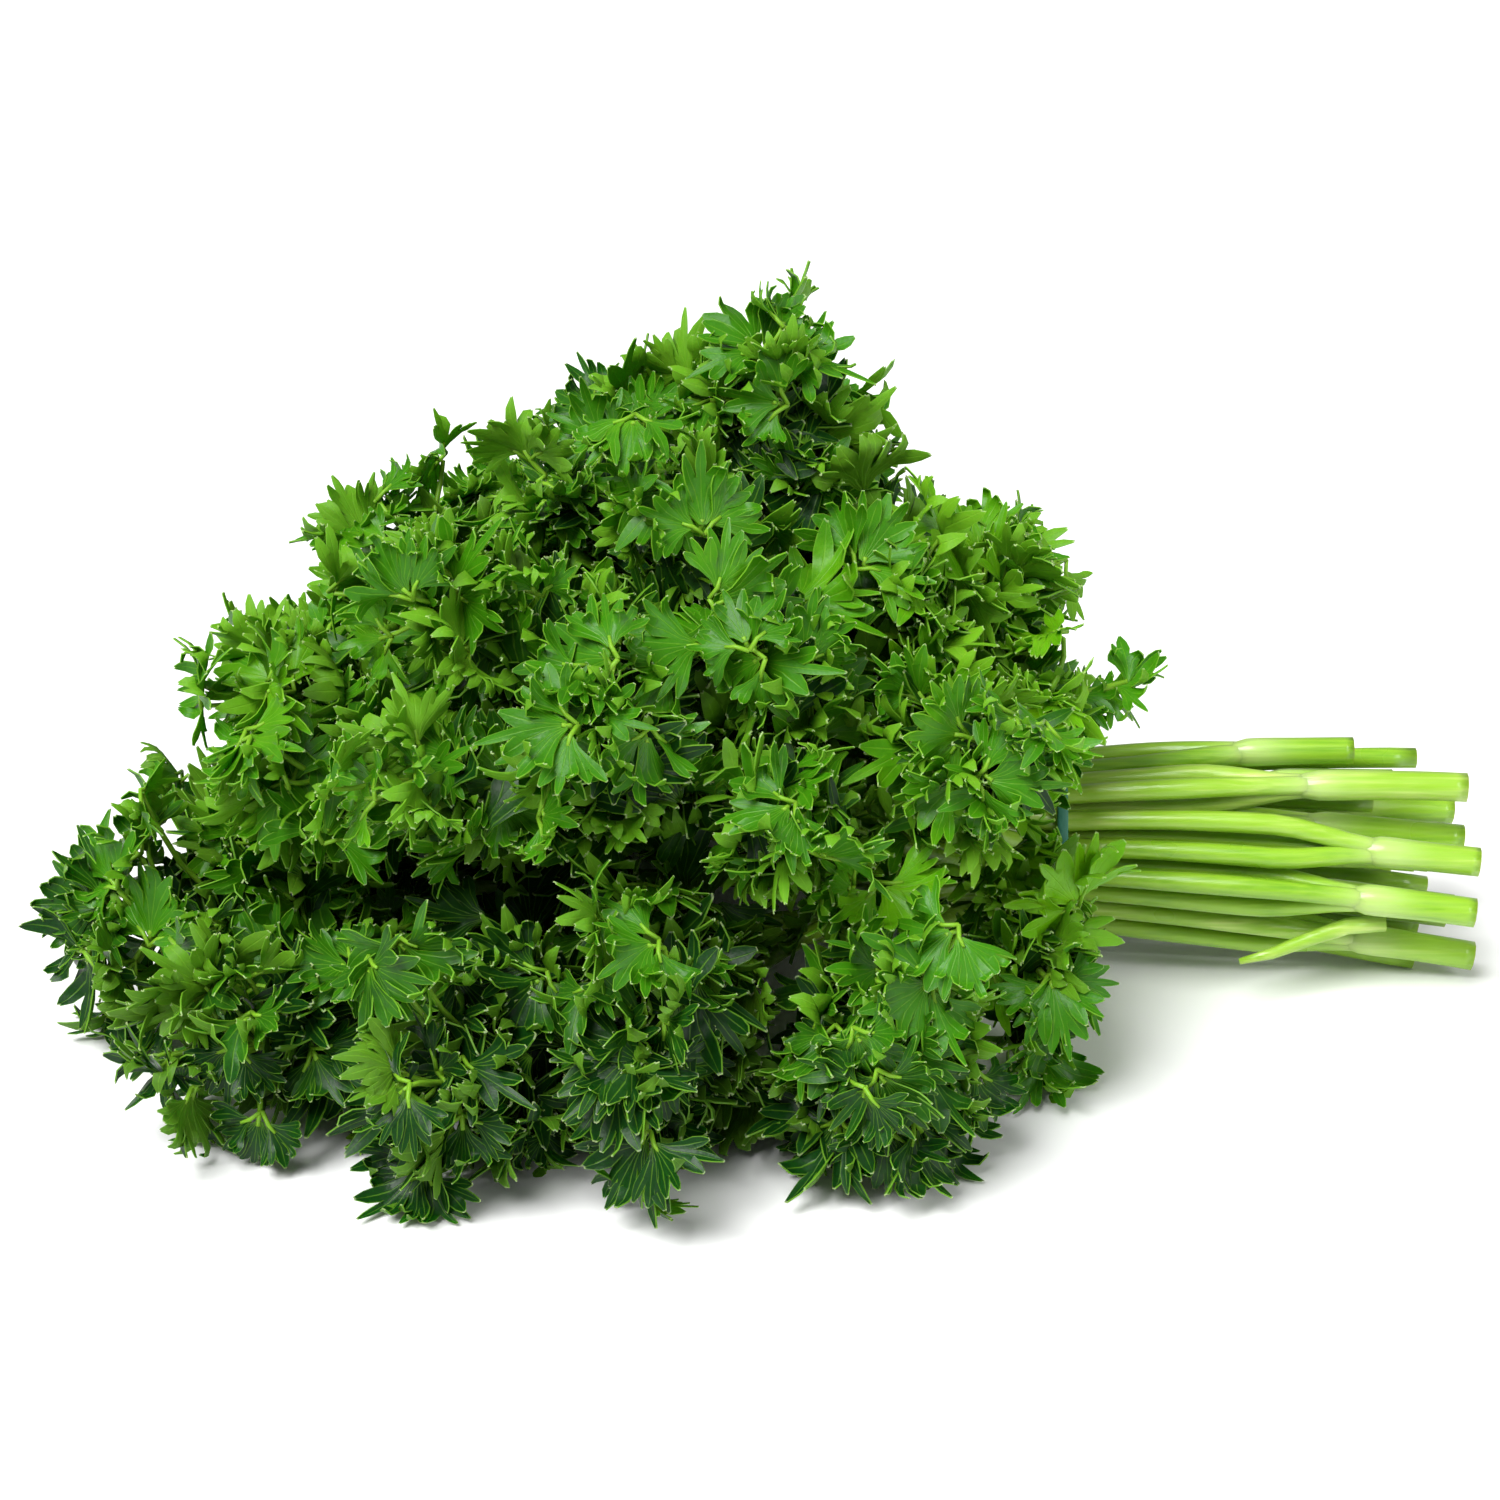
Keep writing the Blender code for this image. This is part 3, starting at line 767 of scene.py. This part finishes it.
def makeSprig():
    rng = random.Random("sprig")
    start = bandMiddle + Vector(looseLook["sprigFrom"])
    end = bandMiddle + Vector(looseLook["sprigTo"])
    way = (end - start).normalized()
    bm = bmesh.new()
    bm.loops.layers.uv.new("toothUV")
    data = bm.loops.layers.float_color.new("leafData")
    for face in sweepTube(bm, [start, start.lerp(end, 0.5), end], [0.0011, 0.0009, 0.0006], 8):
        face.smooth = True
        for loop in face.loops:
            loop[data] = (0.0, 0.5, 1.0, 1.0)
    for number in range(looseLook["sprigLeaflets"]):
        at = start.lerp(end, 0.35 + 0.65 * number / (looseLook["sprigLeaflets"] - 1))
        axis = (way * 0.8 + anyWay(rng) * 0.9).normalized()
        normal = straightened(Vector((0, -0.6, 0.8)) + anyWay(rng) * 0.5, axis)
        tint = looseLook["sprigTint"] + rng.uniform(-0.1, 0.1)
        growFan(bm, rng.randrange(len(fans)), at, axis, normal, rng.uniform(0.62, 0.9), tint)
    return finishPiece("looseSprig", bm, leafFinish, "leaf")


def makeShoot():
    start = bandMiddle + Vector(looseLook["shootFrom"])
    end = bandMiddle + Vector(looseLook["shootTo"])
    bm = bmesh.new()
    data = bm.loops.layers.float_color.new("stemData")
    row = curveBetween(start, Vector((-0.010, 0, 0.001)), Vector((-0.008, -0.003, 0.001)), end, 5)
    faces = sweepTube(bm, row, looseLook["shootRadii"], bundle["sides"], bundle["ribs"])
    paintStem(faces, data, looseLook["shootTint"])
    return finishPiece("brokenShoot", bm, stemFinish, "stem")


makeSprig()
makeShoot()
print("loose bits: 2")


# the band: a flat elastic loop, drawn tight over the outer stems

bandLook = {
    "width": 0.0022,
    "thickness": 0.0011,
    "gap": 0.0003,
    "sides": 96,
    "colour": (0.055, 0.250, 0.170, 1),
}


def bandMaterial():
    material, tree, shader = newMaterial("elasticBand", Roughness=0.5, Specular_IOR_Level=0.4)
    place = addNode(tree, "ShaderNodeTexCoord").outputs["Object"]
    dust = noise(tree, place, 900.0, 4.0)
    darker = tuple(value * 0.6 for value in bandLook["colour"][:3]) + (1,)
    tree.links.new(mixColour(tree, dust, darker, bandLook["colour"]), shader.inputs["Base Color"])
    tree.links.new(maths(tree, "MULTIPLY_ADD", dust, 0.3, 0.4), shader.inputs["Roughness"])
    bump = addNode(tree, "ShaderNodeBump", {"Height": dust, "Strength": 0.4, "Distance": 0.0002})
    tree.links.new(bump.outputs["Normal"], shader.inputs["Normal"])
    return material


def makeBand():
    bm = bmesh.new()
    ring = bmesh.ops.create_circle(
        bm, segments=bandLook["sides"], radius=1.0, matrix=Matrix.Rotation(math.pi / 2, 4, "Y"))["verts"]
    edges = bm.edges[:]
    inside = bundle["petioleRadius"] + bandLook["gap"]
    steps = 12
    for step in range(steps + 1):
        if step:
            grown = bmesh.ops.extrude_edge_only(bm, edges=edges)["geom"]
            ring = [item for item in grown if isinstance(item, bmesh.types.BMVert)]
            edges = [item for item in grown if isinstance(item, bmesh.types.BMEdge)]
        turn = 2 * math.pi * step / steps
        x = bandLook["width"] / 2 * math.copysign(abs(math.cos(turn)) ** 0.5, math.cos(turn))
        outer = 1 + math.copysign(abs(math.sin(turn)) ** 0.5, math.sin(turn))
        margin = inside + bandLook["thickness"] / 2 * outer
        for vert in ring:
            outward = Vector((0, vert.co.y, vert.co.z)).normalized()
            flat = Vector((outward.y, outward.z))
            reach = max((place * bundle["pitchAtBand"]).dot(flat) for place in petiolePlaces)
            vert.co = outward * (reach + margin)
            vert.co.x = x
    bmesh.ops.remove_doubles(bm, verts=bm.verts, dist=1e-6)
    bmesh.ops.recalc_face_normals(bm, faces=bm.faces)
    bmesh.ops.translate(bm, verts=bm.verts, vec=bandMiddle)
    for face in bm.faces:
        face.smooth = True
    return finishPiece("tyingBand", bm, bandMaterial(), "band", "elastic_band")


makeBand()
print("band")


# floor, light and camera

studio = {
    "floor": (0.93, 0.93, 0.93, 1),
    "sky": 0.27,
    "sun": 5.2,
    "sunSpread": 38,
    "sunFrom": (-0.45, -0.5, 1.0),
    "elevation": 25,
    "distance": 0.90,
    "lens": 109,
    "target": (-0.0614, 0.0, 0.0197),
    "lampPlace": (0.7, -0.5, 0.5),
    "lampAimsAt": (-0.02, 0, 0.05),
    "lampEnergy": 3,
    "lampSize": 0.4,
}


def makeFloor():
    bm = bmesh.new()
    bmesh.ops.create_grid(bm, x_segments=1, y_segments=1, size=6)
    mesh = bpy.data.meshes.new("floor")
    bm.to_mesh(mesh)
    bm.free()
    material, _, shader = newMaterial("paleFloor", Roughness=0.3, Specular_IOR_Level=0.35)
    shader.inputs["Base Color"].default_value = studio["floor"]
    mesh.materials.append(material)
    floor = bpy.data.objects.new("floor", mesh)
    scene.collection.objects.link(floor)


def addLight(name, place, energy, size):
    lamp = bpy.data.lights.new(name, "AREA")
    lamp.energy, lamp.size = energy, size
    holder = bpy.data.objects.new(name, lamp)
    holder.location = place
    facing = Vector(studio["lampAimsAt"]) - Vector(place)
    holder.rotation_euler = facing.to_track_quat("-Z", "Y").to_euler()
    scene.collection.objects.link(holder)


makeFloor()
sun = bpy.data.lights.new("sun", "SUN")
sun.energy, sun.angle = studio["sun"], math.radians(studio["sunSpread"])
sunHolder = bpy.data.objects.new("sun", sun)
sunHolder.rotation_euler = Vector(studio["sunFrom"]).to_track_quat("Z", "Y").to_euler()
scene.collection.objects.link(sunHolder)
addLight("side", studio["lampPlace"], studio["lampEnergy"], studio["lampSize"])
world = bpy.data.worlds.new("studio")
scene.world = world
world.use_nodes = True
world.node_tree.nodes["Background"].inputs["Color"].default_value = (1, 1, 1, 1)
world.node_tree.nodes["Background"].inputs["Strength"].default_value = studio["sky"]
scene.view_settings.view_transform = "Standard"

lens = bpy.data.cameras.new("camera")
lens.lens = studio["lens"]
lens.clip_start = 0.05
camera = bpy.data.objects.new("camera", lens)
target = bandMiddle + Vector(studio["target"])
rise = math.radians(studio["elevation"])
camera.location = target + Vector((0, -math.cos(rise), math.sin(rise))) * studio["distance"]
camera.rotation_euler = (target - camera.location).to_track_quat("-Z", "Y").to_euler()
scene.collection.objects.link(camera)
scene.camera = camera
print("studio")
